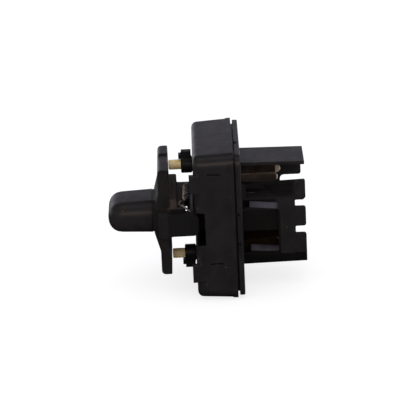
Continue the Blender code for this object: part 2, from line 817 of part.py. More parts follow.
def make_bridge(name, side, carrier):
    low_z, high_z = sorted((
        side * (blade_outer_z - bridge_foot_margin), side * (plunger_z + bridge_top_margin)))
    bm = bmesh.new()
    add_block(
        bm, (bridge_front_x, -bridge_half_depth, low_z), (bridge_back_x, bridge_half_depth, high_z))
    round_edges(bm, edges_along(bm, 0), 1.0 * mm, 3)
    bridge = finish(name, bm, brass)
    bm = bmesh.new()
    for y in (-blade_row_y, blade_row_y):
        add_rod(
            bm, "X", (y, side * blade_outer_z), bridge_front_x + 0.5 * bridge_thickness,
            bridge_back_x + bridge_dome_height, bridge_dome_radius, 0.5 * bridge_dome_radius, 16)
    join(bridge, bm, "domes")
    bm = bmesh.new()
    add_rod(
        bm, "X", (0.0, side * plunger_z), bridge_front_x - bridge_thickness, bridge_back_x + bridge_thickness,
        plunger_tail_radius + fit_clearance, None, 16)
    cut(bridge, bm, "hole")
    ride(bridge, carrier)
    return bridge


def make_plunger_spring(name, side):
    start_x = bridge_back_x + spring_seat_gap + plunger_spring_wire
    end_x = board_front_x - spring_seat_gap - plunger_spring_wire
    points_per_turn = 10
    total = plunger_spring_turns * points_per_turn
    points = []
    for k in range(total + 1):
        angle = 2 * math.pi * k / points_per_turn
        points.append((
            start_x + (end_x - start_x) * k / total,
            plunger_spring_radius * math.cos(angle),
            side * plunger_z + plunger_spring_radius * math.sin(angle)))
    return wire(name, points, plunger_spring_wire, steel)


def blade_slots(bm, x_low, x_high):
    """Openings for the six blades, with their clearance."""
    half_y = blade_half_thickness + blade_slot_clearance
    half_z = blade_half_width + blade_slot_clearance
    for y in (-blade_row_y, blade_row_y):
        for z in (-blade_outer_z, blade_inner_z, blade_outer_z):
            add_block(bm, (x_low, y - half_y, z - half_z), (x_high, y + half_y, z + half_z))


def make_rear_base():
    bm = bmesh.new()
    half = (cover_half_depth, cover_half_height)
    rounded_box(bm, cover_front_x, cover_rear_x, half, half, cover_corner)
    round_edges(bm, edges_at_x(bm, cover_rear_x), cover_edge_round, 2)
    base = finish("rear_base", bm, black_cover)

    spigot_x = cover_front_x - seam_gap - spigot_length
    outer = case_half(spigot_x, rim_step + case_wall + fit_clearance)
    inner = (outer[0] - spigot_wall, outer[1] - spigot_wall)
    bm = bmesh.new()
    rounded_box(bm, spigot_x, cover_front_x + 0.5 * cover_thickness, outer, outer, 1.2 * mm, 2)
    join(base, bm, "spigot")
    bm = bmesh.new()
    add_tapered(bm, spigot_x - spigot_length, cover_front_x, inner, inner)
    cut(base, bm, "spigot_hollow")

    root_x = cover_rear_x - 0.5 * cover_thickness
    add_shroud(base, root_x)

    bm = bmesh.new()
    blade_slots(bm, cover_front_x - cover_thickness, cover_rear_x + cover_thickness)
    cut(base, bm, "blade_slots")

    bm = bmesh.new()
    for z in (side_notch_low_z, side_notch_high_z):
        add_block(
            bm, (cover_front_x - notch_length, -cover_half_depth - notch_depth, z - notch_width / 2),
            (cover_front_x + notch_length, -cover_half_depth + notch_depth, z + notch_width / 2))
    for side in (-1, 1):
        low_z, high_z = sorted((
            side * (cover_half_height - notch_depth), side * (cover_half_height + notch_depth)))
        add_block(
            bm, (cover_front_x - notch_length, end_notch_y - notch_width, low_z),
            (cover_front_x + notch_length, end_notch_y + notch_width, high_z))
    cut(base, bm, "snap_notches")
    return base


def add_shroud(base, root_x):
    """The four walls of the connector shroud, with its windows, tabs and inner ribs."""
    near_y = -shroud_half_depth
    root_half, end_half = shroud_half_height_at(cover_rear_x), shroud_half_height_at(shroud_end_x)
    band_x = cover_rear_x + window_root + window_length
    tab_root_x = shroud_end_x - tab_length
    shoulder_x = cover_rear_x + near_wall_shoulder_length

    near_outline = fillet((
        (root_x, -root_half, 0.0),
        (shroud_end_x, -end_half, 0.4 * mm),
        (shroud_end_x, lower_notch_low_z, tab_round),
        (tab_root_x, lower_notch_low_z, 0.3 * mm),
        (tab_root_x, lower_notch_high_z, 0.3 * mm),
        (shroud_end_x, lower_notch_high_z, tab_round),
        (shroud_end_x, upper_notch_low_z, tab_round),
        (tab_root_x, upper_notch_low_z, 0.3 * mm),
        (tab_root_x, upper_notch_high_z, 0.3 * mm),
        (shroud_end_x - tab_round, upper_notch_high_z, 0.3 * mm),
        (shroud_end_x, upper_notch_high_z + tab_round, 0.3 * mm),
        (shroud_end_x, near_wall_top_z, 0.5 * mm),
        (shoulder_x, near_wall_shoulder_z, 0.0),
        (root_x, near_wall_root_z, 0.0)))
    window = fillet((
        (cover_rear_x + window_root, window_low_z, 0.4 * mm),
        (band_x, window_low_z, 0.6 * mm),
        (band_x, window_high_z, 0.6 * mm),
        (cover_rear_x + window_root, window_high_z, 0.4 * mm)))
    slot = fillet((
        (cover_rear_x + slot_root, slot_low_z, 0.4 * mm),
        (cover_rear_x + slot_root + slot_length, slot_low_z, 0.8 * mm),
        (cover_rear_x + slot_root + slot_length, slot_high_z, 0.8 * mm),
        (cover_rear_x + slot_root, slot_high_z, 0.4 * mm)))
    bm = bmesh.new()
    add_outline(bm, [near_outline, window, slot], near_y, near_y + shroud_wall, "XZ")
    join(base, bm, "near_wall")

    far_x, far_tab_x = cover_rear_x + far_wall_length, cover_rear_x + far_tab_length
    far_outline = fillet((
        (root_x, -root_half, 0.0),
        (far_x, -shroud_half_height_at(far_x), 0.6 * mm),
        (far_x, far_tab_low_z, far_tab_fillet),
        (far_tab_x, far_tab_low_z, tab_round),
        (far_tab_x, shroud_half_height_at(far_tab_x), 0.0),
        (root_x, root_half, 0.0)))
    bm = bmesh.new()
    add_outline(bm, [far_outline], shroud_half_depth - shroud_wall, shroud_half_depth, "XZ")
    join(base, bm, "far_wall")

    walls = ((1, "top_wall", shroud_top_near_y, shroud_top_wall), (-1, "bottom_wall", near_y, shroud_wall))
    for side, label, wall_near_y, thickness in walls:
        wall = (
            (root_x, side * root_half),
            (shroud_end_x, side * end_half),
            (shroud_end_x, side * (end_half - thickness)),
            (root_x, side * (root_half - thickness)))
        bm = bmesh.new()
        add_outline(bm, [[Vector(point) for point in wall]], wall_near_y, shroud_half_depth, "XZ")
        join(base, bm, label)

    bm = bmesh.new()
    panel_x = cover_rear_x + panel_root
    add_block(
        bm, (panel_x, near_y - shroud_wall, slot_low_z - panel_margin),
        (panel_x + panel_length, near_y + panel_depth, slot_high_z + panel_margin))
    cut(base, bm, "panel")

    bm = bmesh.new()
    rib_x, rib_end_x = cover_rear_x + rib_root, band_x + 0.5 * shroud_wall
    for top_z, far_y in ((upper_rib_z, upper_rib_far_y), (lower_rib_z, lower_rib_far_y)):
        rib = (
            (rib_x, top_z), (rib_end_x, top_z - rib_fall),
            (rib_end_x, top_z - rib_fall - rib_thickness), (rib_x, top_z - rib_thickness))
        add_outline(bm, [[Vector(point) for point in rib]], near_y + rib_recess, far_y, "XZ")
    join(base, bm, "ribs")

    skirt = (
        (root_x, upper_rib_z - 0.5 * rib_thickness),
        (rib_x, upper_rib_z - 0.5 * rib_thickness),
        (rib_end_x - 0.1 * shroud_wall, upper_rib_z - rib_fall - 0.5 * rib_thickness),
        (rib_end_x - 0.1 * shroud_wall, skirt_low_z),
        (root_x, skirt_low_z))
    skirt_near_y = near_y + rib_recess + 0.05 * shroud_wall
    bm = bmesh.new()
    add_outline(bm, [[Vector(point) for point in skirt]], skirt_near_y, skirt_near_y + skirt_thickness, "XZ")
    join(base, bm, "skirt")

    bm = bmesh.new()
    add_block(
        bm, (tab_root_x, near_y - shroud_wall, -2 * shroud_half_height),
        (shroud_end_x + tab_length, near_y + tab_face_depth, tab_face_z))
    cut(base, bm, "tab_faces")

    gusset = (
        (root_x, near_y + 0.5 * shroud_wall),
        (cover_rear_x + gusset_length, near_y + 0.5 * shroud_wall),
        (root_x, near_y + gusset_depth))
    bm = bmesh.new()
    add_outline(
        bm, [[Vector(point) for point in gusset]], near_wall_root_z - 1.3 * shroud_wall,
        near_wall_root_z - 0.1 * shroud_wall, "XY")
    join(base, bm, "gusset")

    bm = bmesh.new()
    chamfer = (
        (near_y - near_wall_chamfer, -2 * shroud_half_height),
        (near_y + near_wall_chamfer, -2 * shroud_half_height),
        (near_y + near_wall_chamfer, -shroud_half_height),
        (near_y, -shroud_half_height + near_wall_chamfer_height),
        (near_y - near_wall_chamfer, -shroud_half_height + near_wall_chamfer_height))
    made = add_outline(
        bm, [[Vector((z, y)) for y, z in chamfer]], cover_rear_x, 2 * shroud_end_x - cover_rear_x, "XY")
    turn = Matrix(((0.0, 0.0, 1.0), (0.0, 1.0, 0.0), (1.0, 0.0, 0.0)))
    for vert in made:
        vert.co = turn @ vert.co
    cut(base, bm, "chamfer")


def make_board():
    cavity = case_half(board_front_x, rim_step + case_wall)
    half = (cavity[0] - board_margin, cavity[1] - board_margin)
    bm = bmesh.new()
    rounded_box(bm, board_front_x, board_front_x + board_thickness, half, half, board_corner, 2)
    board = finish("terminal_board", bm, board_plastic)
    bm = bmesh.new()
    blade_slots(bm, board_front_x - board_thickness, board_front_x + 2 * board_thickness)
    cut(board, bm, "blade_slots")
    return board


def make_terminal(name, y, z, tip_x):
    bm = bmesh.new()
    add_block(
        bm, (contact_pad_x + 0.5 * contact_pad_thickness, y - blade_half_thickness, z - blade_half_width),
        (tip_x, y + blade_half_thickness, z + blade_half_width))
    for axis, chamfer in ((1, blade_chamfer), (2, 0.5 * blade_half_thickness)):
        across = []
        for edge in edges_at_x(bm, tip_x):
            span = edge.verts[1].co - edge.verts[0].co
            if abs(span[axis]) > 0.5 * blade_half_thickness:
                across.append(edge)
        round_edges(bm, across, chamfer, 1)
    blade = finish(name, bm, copper)
    bm = bmesh.new()
    add_block(
        bm, (contact_pad_x, y - contact_pad_half_size, z - contact_pad_half_size),
        (contact_pad_x + contact_pad_thickness, y + contact_pad_half_size, z + contact_pad_half_size))
    join(blade, bm, "pad")
    return blade


def make_all():
    pivot = add_empty("rocker_pivot", pivot_x, 0.0)
    make_case()
    make_rocker(pivot)
    make_knob_cap(pivot)
    make_return_spring(pivot)
    for label, side in (("upper", 1), ("lower", -1)):
        slide = add_empty("plunger_" + label + "_axis", case_front_x, side * plunger_z)
        make_guide("guide_" + label, side)
        make_plunger("plunger_" + label, side, slide)
        make_bridge("contact_bridge_" + label, side, slide)
        make_plunger_spring("plunger_spring_" + label, side)
    make_rear_base()
    make_board()
    number = 0
    for y, tip_x in ((-blade_row_y, near_blade_tip_x), (blade_row_y, far_blade_tip_x)):
        for z in (blade_outer_z, blade_inner_z, -blade_outer_z):
            number += 1
            make_terminal("terminal_" + str(number), y, z, tip_x)


make_all()
bpy.context.view_layer.update()
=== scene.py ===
import math

import bmesh
import bpy
from mathutils import Matrix, Vector


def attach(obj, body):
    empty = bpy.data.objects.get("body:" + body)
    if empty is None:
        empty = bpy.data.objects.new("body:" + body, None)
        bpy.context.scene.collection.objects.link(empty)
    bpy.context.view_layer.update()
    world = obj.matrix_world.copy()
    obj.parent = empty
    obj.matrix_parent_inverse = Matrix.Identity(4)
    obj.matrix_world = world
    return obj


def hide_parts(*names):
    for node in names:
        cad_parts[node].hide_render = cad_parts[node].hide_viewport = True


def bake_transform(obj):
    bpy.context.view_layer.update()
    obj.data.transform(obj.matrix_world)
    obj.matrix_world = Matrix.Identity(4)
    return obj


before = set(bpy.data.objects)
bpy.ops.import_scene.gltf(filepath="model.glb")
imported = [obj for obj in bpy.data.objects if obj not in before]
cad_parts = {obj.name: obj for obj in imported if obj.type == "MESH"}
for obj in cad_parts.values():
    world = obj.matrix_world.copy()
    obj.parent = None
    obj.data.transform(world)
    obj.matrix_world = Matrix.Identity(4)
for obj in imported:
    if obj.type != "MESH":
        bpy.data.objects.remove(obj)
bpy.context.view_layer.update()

mm = 0.001
print("frame loaded:", len(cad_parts), "nodes")


# Tools for nodes and materials

def toLinear(hexColour):
    # An sRGB hex colour as the linear colour that nodes and lamps take
    parts = [int(hexColour[i:i + 2], 16) / 255 for i in (1, 3, 5)]
    return tuple(c / 12.92 if c <= 0.04045 else ((c + 0.055) / 1.055) ** 2.4 for c in parts) + (1.0,)


def perMm(size):
    return 1.0 / (size * mm)  # a texture's scale for a feature of that many millimetres


def addNode(tree, kind, settings=None, links=None, stops=()):
    # Settings are the node's inputs and options, links are what feeds it, stops are a ramp's colours
    node = tree.nodes.new(kind)
    for name, value in (settings or {}).items():
        if name in node.inputs:
            node.inputs[name].default_value = value
        else:
            setattr(node, name, value)
    for name, source in (links or {}).items():
        tree.links.new(source, node.inputs[name])
    for i, (position, hexColour) in enumerate(stops):
        node.color_ramp.elements[i].position = position
        node.color_ramp.elements[i].color = toLinear(hexColour)
    return node


def feedShader(tree, shader, sources):
    for name, source in sources.items():
        tree.links.new(source, shader.inputs[name])


def emptyTree(owner):
    owner.use_nodes = True
    owner.node_tree.nodes.clear()
    return owner.node_tree


def newMaterial(name, shaderSettings):
    # One principled shader, and the object's own coordinates for its patterns
    made = bpy.data.materials.new(name)
    tree = emptyTree(made)
    shader = addNode(tree, "ShaderNodeBsdfPrincipled", shaderSettings)
    addNode(tree, "ShaderNodeOutputMaterial", links={"Surface": shader.outputs["BSDF"]})
    place = addNode(tree, "ShaderNodeTexCoord").outputs["Object"]
    return made, tree, shader, place


def whoLooks(tree):
    # 1 for the camera's own rays, and 1 for those that gloss or glass sends on
    rays = addNode(tree, "ShaderNodeLightPath")
    shiny = addNode(tree, "ShaderNodeMath", {"operation": "MAXIMUM"}, {
        0: rays.outputs["Is Glossy Ray"], 1: rays.outputs["Is Transmission Ray"]})
    return rays.outputs["Is Camera Ray"], shiny.outputs[0]


# Tools for pieces. Lengths in rounding are counted in bevel widths, and flatAngle is in degrees

rounding = dict(
    flatAngle=0.6,  # triangles that turn less than this become one flat
    shortest=2.0,  # a rounded edge is at least this long
    besideLeast=2.3,  # and so are the edges that leave its ends
    sameWay=0.8,  # an edge is a continuation, not one beside, from this cosine up
    tries=6,
    clearance=3.0,  # an edge nearer than this to a collision stays sharp
    leastCross=1e-12)  # smaller triangles have no side to speak of


def isWithin(value, limits):
    return limits[0] * mm < value < limits[1] * mm  # the limits are in millimetres


def deselectAll():
    for other in bpy.context.selected_objects:
        other.select_set(False)


def makeActive(piece):
    deselectAll()
    piece.select_set(True)
    bpy.context.view_layer.objects.active = piece


def applyModifiers(piece):
    makeActive(piece)
    for step in list(piece.modifiers):
        bpy.ops.object.modifier_apply(modifier=step.name)


def dress(piece, look, body, slotName, *nodes):
    piece.data.materials.append(look)
    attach(piece, body)
    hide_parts(*nodes)
    return piece


def copyNode(nodeName, pieceName, edge):
    # The node's form as a mesh of its own, with whole flats in place of loose triangles
    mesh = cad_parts[nodeName].data.copy()
    mesh.materials.clear()
    piece = bpy.data.objects.new(pieceName, mesh)
    bpy.context.scene.collection.objects.link(piece)
    makeActive(piece)
    bpy.ops.object.mode_set(mode="EDIT")
    bpy.ops.mesh.select_all(action="SELECT")
    bpy.ops.mesh.remove_doubles(threshold=edge["weld"])
    bpy.ops.mesh.dissolve_limited(angle_limit=math.radians(rounding["flatAngle"]))
    bpy.ops.object.mode_set(mode="OBJECT")
    return piece


def hasRoom(edge, width, angle):
    # A sharp edge can be rounded where the edges that leave its ends are long enough
    if len(edge.link_faces) != 2 or edge.calc_face_angle(0.0) < angle:
        return False
    if edge.calc_length() < rounding["shortest"] * width:
        return False
    along = (edge.verts[1].co - edge.verts[0].co).normalized()
    for vert in edge.verts:
        for other in vert.link_edges:
            step = other.other_vert(vert).co - vert.co
            isShort = step.length < rounding["besideLeast"] * width
            if other is not edge and isShort and abs(step.normalized().dot(along)) < rounding["sameWay"]:
                return False
    return True


def isNear(edge, spots, reach):
    start, way = edge.verts[0].co, edge.verts[1].co - edge.verts[0].co
    for spot in spots:
        share = min(1.0, max(0.0, (spot - start).dot(way) / way.length_squared))
        if (start + way * share - spot).length < reach:
            return True
    return False


def turnedCorners(mesh):
    # Corners of the triangles that lie face down, where two rounds run into each other
    mesh.calc_loop_triangles()
    spots = []
    for triangle in mesh.loop_triangles:
        first, second, third = (mesh.vertices[i].co for i in triangle.vertices)
        cross = (second - first).cross(third - first)
        isTurned = cross.dot(mesh.polygons[triangle.polygon_index].normal) < 0.0
        if isTurned and cross.length > rounding["leastCross"]:
            spots.extend((first.copy(), second.copy(), third.copy()))
    return spots


def soften(piece, edge):
    # Rounds the sharp edges that have room, takes back those that collide, and keeps the flats flat
    makeActive(piece)
    width = edge["round"]
    work = bmesh.new()
    work.from_mesh(piece.data)
    chosen = [each for each in work.edges if hasRoom(each, width, math.radians(edge["angle"]))]
    piece.data.attributes.new("bevel_weight_edge", "FLOAT", "EDGE")
    bevel = piece.modifiers.new("mouldedEdge", "BEVEL")
    bevel.width = width
    bevel.segments = edge["steps"]
    bevel.limit_method = "WEIGHT"
    bevel.use_clamp_overlap = False
    bevel.miter_outer = "MITER_ARC"
    for _ in range(rounding["tries"]):
        kept = {each.index for each in chosen}
        for i, weight in enumerate(piece.data.attributes["bevel_weight_edge"].data):
            weight.value = 1.0 if i in kept else 0.0
        piece.data.update()
        rounded = piece.evaluated_get(bpy.context.evaluated_depsgraph_get())
        spots = turnedCorners(rounded.data)
        if not spots:
            break
        chosen = [each for each in chosen if not isNear(each, spots, rounding["clearance"] * width)]
    print(piece.name, "rounded edges", len(chosen), "collisions left", len(spots) // 3)
    work.free()
    applyModifiers(piece)
    bpy.ops.object.shade_smooth_by_angle(angle=math.radians(edge["smooth"]))
    evenFlats = piece.modifiers.new("evenFlats", "WEIGHTED_NORMAL")
    evenFlats.mode = "FACE_AREA"
    evenFlats.keep_sharp = True
    applyModifiers(piece)
    return piece


def carryOver(nodeName, pieceName, edge, look, body, slotName):
    # The node's own form with soft edges and a finish, in the node's place
    return dress(soften(copyNode(nodeName, pieceName, edge), edge), look, body, slotName, nodeName)


def selectFaces(piece, wanted):
    # Edit mode on the piece with just the wanted faces selected; says how many there are
    makeActive(piece)
    bpy.ops.object.mode_set(mode="EDIT")
    bpy.ops.mesh.select_mode(type="FACE")
    bpy.ops.mesh.select_all(action="DESELECT")
    work = bmesh.from_edit_mesh(piece.data)
    found = [face for face in work.faces if wanted(face.calc_center_median(), face.normal)]
    for face in found:
        face.select_set(True)
    bmesh.update_edit_mesh(piece.data)
    return len(found)


def coatFaces(piece, second, wanted):
    # Gives the wanted faces a second material; says how many there are
    piece.data.materials.append(second)
    found = [face for face in piece.data.polygons if wanted(face.center, face.normal)]
    for face in found:
        face.material_index = 1
    return len(found)


# Camera, at the photograph's angle

view = dict(
    target=(0.44 * mm, 0.0, 24.83 * mm),
    distance=0.836,
    elevation=math.radians(20.0),
    roll=math.radians(2.6),
    lens=218.25,
    sensor=36.0)

towards = Vector((0.0, -math.cos(view["elevation"]), math.sin(view["elevation"])))
right = (-towards).cross(Vector((0.0, 0.0, 1.0))).normalized()
up = right.cross(-towards).normalized()
turnedRight = right * math.cos(view["roll"]) - up * math.sin(view["roll"])
turnedUp = up * math.cos(view["roll"]) + right * math.sin(view["roll"])
cameraData = bpy.data.cameras.new("camera")
cameraData.lens = view["lens"]
cameraData.sensor_width = view["sensor"]
camera = bpy.data.objects.new("camera", cameraData)
turn = Matrix((turnedRight, turnedUp, towards)).transposed().to_4x4()
camera.matrix_world = Matrix.Translation(Vector(view["target"]) + towards * view["distance"]) @ turn
bpy.context.scene.collection.objects.link(camera)
bpy.context.scene.camera = camera
bpy.context.scene.view_settings.view_transform = "Standard"
print("camera placed")


# Studio: white backdrop and floor, a dim room on the camera's side, three soft boxes and a black cloth

studio = dict(
    fillColour="#f7f9ff",
    fillLevel=0.80,
    mirrorColour="#f0ecfa",
    roomLevel=0.06,
    backdropTop=0.10,
    backdropFade=0.36,
    behindStart=-0.10,
    behindFull=0.45,
    floorSide=3.0,
    floorWhite="#e9e9ea",
    floorGlow=0.76,
    floorAlbedo=0.36,
    topBox=dict(
        size=(0.50, 0.18), distance=0.62, elevation=84.0, azimuth=0.0, level=0.7, colour="#f6f2ff"),
    frontBox=dict(
        size=(0.60, 0.22), distance=0.80, elevation=25.0, azimuth=4.0, level=2.2, colour="#ffe8da"),
    sideBox=dict(
        size=(0.24, 0.40), distance=0.75, elevation=30.0, azimuth=-62.0, level=0.45, colour="#f0efff"),
    velvet=dict(lowX=-0.70, highX=0.10, lowY=-0.72, highY=0.16, height=0.3 * mm, colour="#0a0a0a"))

# The camera sees white. Gloss sees the lit backdrop low behind the part, and the dim room elsewhere
world = bpy.data.worlds.new("whiteStudio")
bpy.context.scene.world = world
room = emptyTree(world)
direction = addNode(room, "ShaderNodeTexCoord").outputs["Generated"]
split = addNode(room, "ShaderNodeSeparateXYZ", links={"Vector": direction})
lowBand = addNode(room, "ShaderNodeMapRange", {
    "From Min": studio["backdropTop"], "From Max": studio["backdropFade"],
    "To Min": 1.0, "To Max": 0.0}, {"Value": split.outputs["Z"]})
behind = addNode(room, "ShaderNodeMapRange", {
    "From Min": studio["behindStart"], "From Max": studio["behindFull"]}, {"Value": split.outputs["Y"]})
backdrop = addNode(room, "ShaderNodeMath", {"operation": "MULTIPLY"}, {
    0: lowBand.outputs["Result"], 1: behind.outputs["Result"]})
seenLevel = addNode(room, "ShaderNodeMapRange", {"To Min": studio["roomLevel"]}, {
    "Value": backdrop.outputs[0]})
cameraLooks, glossLooks = whoLooks(room)
fill = addNode(room, "ShaderNodeBackground", {
    "Color": toLinear(studio["fillColour"]), "Strength": studio["fillLevel"]})
mirrored = addNode(room, "ShaderNodeBackground", {"Color": toLinear(studio["mirrorColour"])}, {
    "Strength": seenLevel.outputs["Result"]})
white = addNode(room, "ShaderNodeBackground", {"Color": toLinear("#ffffff"), "Strength": 1.0})
reflected = addNode(room, "ShaderNodeMixShader", links={
    0: glossLooks, 1: fill.outputs[0], 2: mirrored.outputs[0]})
shown = addNode(room, "ShaderNodeMixShader", links={
    0: cameraLooks, 1: reflected.outputs[0], 2: white.outputs[0]})
addNode(room, "ShaderNodeOutputWorld", links={"Surface": shown.outputs[0]})


def addSoftBox(name, box):
    lamp = bpy.data.lights.new(name, "AREA")
    lamp.shape = "RECTANGLE"
    lamp.size, lamp.size_y = box["size"]
    lamp.color = toLinear(box["colour"])[:3]
    lamp.energy = box["level"] * math.pi * box["size"][0] * box["size"][1]
    elevation, azimuth = math.radians(box["elevation"]), math.radians(box["azimuth"])
    aim = Vector((
        math.sin(azimuth) * math.cos(elevation),
        -math.cos(azimuth) * math.cos(elevation),
        math.sin(elevation)))
    holder = bpy.data.objects.new(name, lamp)
    holder.location = Vector(view["target"]) + aim * box["distance"]
    holder.rotation_euler = aim.to_track_quat("Z", "Y").to_euler()
    bpy.context.scene.collection.objects.link(holder)


def makeFloor():
    # The camera and gloss see a glowing white that keeps the part's shadow. Other light finds pale paint
    deselectAll()
    bpy.ops.mesh.primitive_grid_add(x_subdivisions=4, y_subdivisions=4, size=studio["floorSide"])
    floor = bpy.context.active_object
    floor.name = "floor"
    made = bpy.data.materials.new("paleStudioFloor")
    tree = emptyTree(made)
    cameraLooks, glossLooks = whoLooks(tree)
    plain = addNode(tree, "ShaderNodeBsdfDiffuse", {"Color": toLinear(studio["floorWhite"])})
    dull = addNode(tree, "ShaderNodeBsdfDiffuse", {"Color": (studio["floorAlbedo"],) * 3 + (1.0,)})
    glow = addNode(tree, "ShaderNodeEmission", {
        "Color": toLinear("#ffffff"), "Strength": studio["floorGlow"]})
    bright = addNode(tree, "ShaderNodeAddShader", links={0: dull.outputs[0], 1: glow.outputs[0]})
    seen = addNode(tree, "ShaderNodeMath", {"operation": "MAXIMUM"}, {0: cameraLooks, 1: glossLooks})
    mixed = addNode(tree, "ShaderNodeMixShader", links={
        0: seen.outputs[0], 1: plain.outputs[0], 2: bright.outputs[0]})
    addNode(tree, "ShaderNodeOutputMaterial", links={"Surface": mixed.outputs[0]})
    floor.data.materials.append(made)


def makeVelvet():
    # A black cloth under and before the part keeps the floor's white out of its near faces and undersides
    cloth = studio["velvet"]
    deselectAll()
    bpy.ops.mesh.primitive_grid_add(x_subdivisions=2, y_subdivisions=2, size=1.0)
    velvet = bpy.context.active_object
    velvet.name = "velvet"
    velvet.scale = (cloth["highX"] - cloth["lowX"], cloth["highY"] - cloth["lowY"], 1.0)
    velvet.location = (
        0.5 * (cloth["highX"] + cloth["lowX"]), 0.5 * (cloth["highY"] + cloth["lowY"]), cloth["height"])
    bpy.ops.object.transform_apply(location=True, rotation=True, scale=True)
    velvet.data.materials.append(newMaterial("blackVelvet", {
        "Base Color": toLinear(cloth["colour"]), "Roughness": 1.0, "Specular IOR Level": 0.0})[0])
    velvet.visible_camera = False
    velvet.visible_diffuse = False
    velvet.visible_transmission = False
    velvet.visible_shadow = False


for boxName in ("topBox", "frontBox", "sideBox"):
    addSoftBox(boxName, studio[boxName])
makeFloor()
makeVelvet()
print("studio lit")


# Materials. In the recipes Mm marks a feature's size and Depth its depth, both in millimetres, and Low and
# High are the noise levels at which a pattern starts and is full

moulding = dict(
    flowDetail=5.0, flowRoughness=0.55, flowWarp=0.6, flowLow=0.32, flowHigh=0.70,
    fleckDetail=2.0, fleckRoughness=0.7, fleckLow=0.60, fleckHigh=0.78,
    dustMm=3.0, dustCore=0.03, dustRim=0.07, dustShare=0.55, dust="#8c7767",
    smudgeDetail=6.0, smudgeRoughness=0.62, smudgeLow=0.30, smudgeHigh=0.72,
    grainBlur=0.8, pitSize=0.6, pitDetail=3.0, sinkDetail=1.0)


def mouldedPlastic(name, recipe):
    recipe = dict(moulding, **recipe)
    made, tree, shader, place = newMaterial(name, {
        "IOR": recipe["ior"], "Metallic": 0.0, "Specular IOR Level": recipe["specular"]})
    # Slow shades where the melt has flowed, and short pale flecks of fibre or filler
    flow = addNode(tree, "ShaderNodeTexNoise", {
        "Scale": perMm(recipe["flowMm"]), "Detail": recipe["flowDetail"],
        "Roughness": recipe["flowRoughness"], "Distortion": recipe["flowWarp"]}, {"Vector": place})
    flecks = addNode(tree, "ShaderNodeTexNoise", {
        "Scale": perMm(recipe["fleckMm"]), "Detail": recipe["fleckDetail"],
        "Roughness": recipe["fleckRoughness"]}, {"Vector": place})
    shades = addNode(tree, "ShaderNodeValToRGB", links={"Fac": flow.outputs["Fac"]}, stops=(
        (recipe["flowLow"], recipe["dark"]), (recipe["flowHigh"], recipe["light"])))
    fleckShare = addNode(tree, "ShaderNodeMapRange", {
        "From Min": recipe["fleckLow"], "From Max": recipe["fleckHigh"],
        "To Max": recipe["fleckShare"]}, {"Value": flecks.outputs["Fac"]})
    flecked = addNode(tree, "ShaderNodeMix", {"data_type": "RGBA", "B": toLinear(recipe["fleck"])}, {
        "Factor": fleckShare.outputs["Result"], "A": shades.outputs["Color"]})
    # Grains of road dust about 0.3 mm across, at most one in every 3 mm
    grains = addNode(tree, "ShaderNodeTexVoronoi", {"Scale": perMm(recipe["dustMm"])}, {"Vector": place})
    dustShare = addNode(tree, "ShaderNodeMapRange", {
        "From Min": recipe["dustCore"], "From Max": recipe["dustRim"],
        "To Min": recipe["dustShare"], "To Max": 0.0}, {"Value": grains.outputs["Distance"]})
    dusty = addNode(tree, "ShaderNodeMix", {"data_type": "RGBA", "B": toLinear(recipe["dust"])}, {
        "Factor": dustShare.outputs["Result"], "A": flecked.outputs["Result"]})
    # Smudges that are a little glossier or duller than the rest
    smudge = addNode(tree, "ShaderNodeTexNoise", {
        "Scale": perMm(recipe["smudgeMm"]), "Detail": recipe["smudgeDetail"],
        "Roughness": recipe["smudgeRoughness"]}, {"Vector": place})
    rough = addNode(tree, "ShaderNodeMapRange", {
        "From Min": recipe["smudgeLow"], "From Max": recipe["smudgeHigh"],
        "To Min": recipe["rough"] - recipe["roughSwing"],
        "To Max": recipe["rough"] + recipe["roughSwing"]}, {"Value": smudge.outputs["Fac"]})
    # The mould's grain, with finer pits in it, over the slow waves of sink marks
    grain = addNode(tree, "ShaderNodeTexVoronoi", {
        "feature": "SMOOTH_F1", "Scale": perMm(recipe["grainMm"]),
        "Smoothness": recipe["grainBlur"]}, {"Vector": place})
    pits = addNode(tree, "ShaderNodeTexNoise", {
        "Scale": perMm(recipe["grainMm"] * recipe["pitSize"]), "Detail": recipe["pitDetail"]}, {
        "Vector": place})
    height = addNode(tree, "ShaderNodeMath", {"operation": "ADD"}, {
        0: grain.outputs["Distance"], 1: pits.outputs["Fac"]})
    wave = addNode(tree, "ShaderNodeTexNoise", {
        "Scale": perMm(recipe["sinkMm"]), "Detail": recipe["sinkDetail"]}, {"Vector": place})
    sink = addNode(tree, "ShaderNodeBump", {
        "Strength": 1.0, "Distance": recipe["sinkDepth"] * mm}, {"Height": wave.outputs["Fac"]})
    texture = addNode(tree, "ShaderNodeBump", {
        "Strength": recipe["grainStrength"], "Distance": recipe["grainDepth"] * mm}, {
        "Height": height.outputs[0], "Normal": sink.outputs["Normal"]})
    feedShader(tree, shader, {
        "Base Color": dusty.outputs["Result"], "Roughness": rough.outputs["Result"],
        "Normal": texture.outputs["Normal"]})
    return made


# Glass-filled nylon from a spark-eroded mould: matt black, grey fibre flecks and slow waves in its flats
mouldedNylon = mouldedPlastic("mouldedGlassFilledNylon", dict(
    ior=1.53, specular=0.42, dark="#1a1817", light="#232120", fleck="#3b3633", fleckShare=0.35,
    flowMm=7.0, fleckMm=0.55, smudgeMm=4.5, rough=0.39, roughSwing=0.06,
    grainMm=0.45, grainStrength=0.16, grainDepth=0.05, sinkMm=9.0, sinkDepth=0.10))

# The same nylon in the cover's mould, which is polished a little finer, so it is more even
mouldedCoverNylon = mouldedPlastic("mouldedCoverNylon", dict(
    ior=1.53, specular=0.42, dark="#1b1918", light="#242221", fleck="#383432", fleckShare=0.28,
    flowMm=6.0, fleckMm=0.5, smudgeMm=4.0, rough=0.38, roughSwing=0.06,
    grainMm=0.4, grainStrength=0.14, grainDepth=0.05, sinkMm=8.0, sinkDepth=0.08))

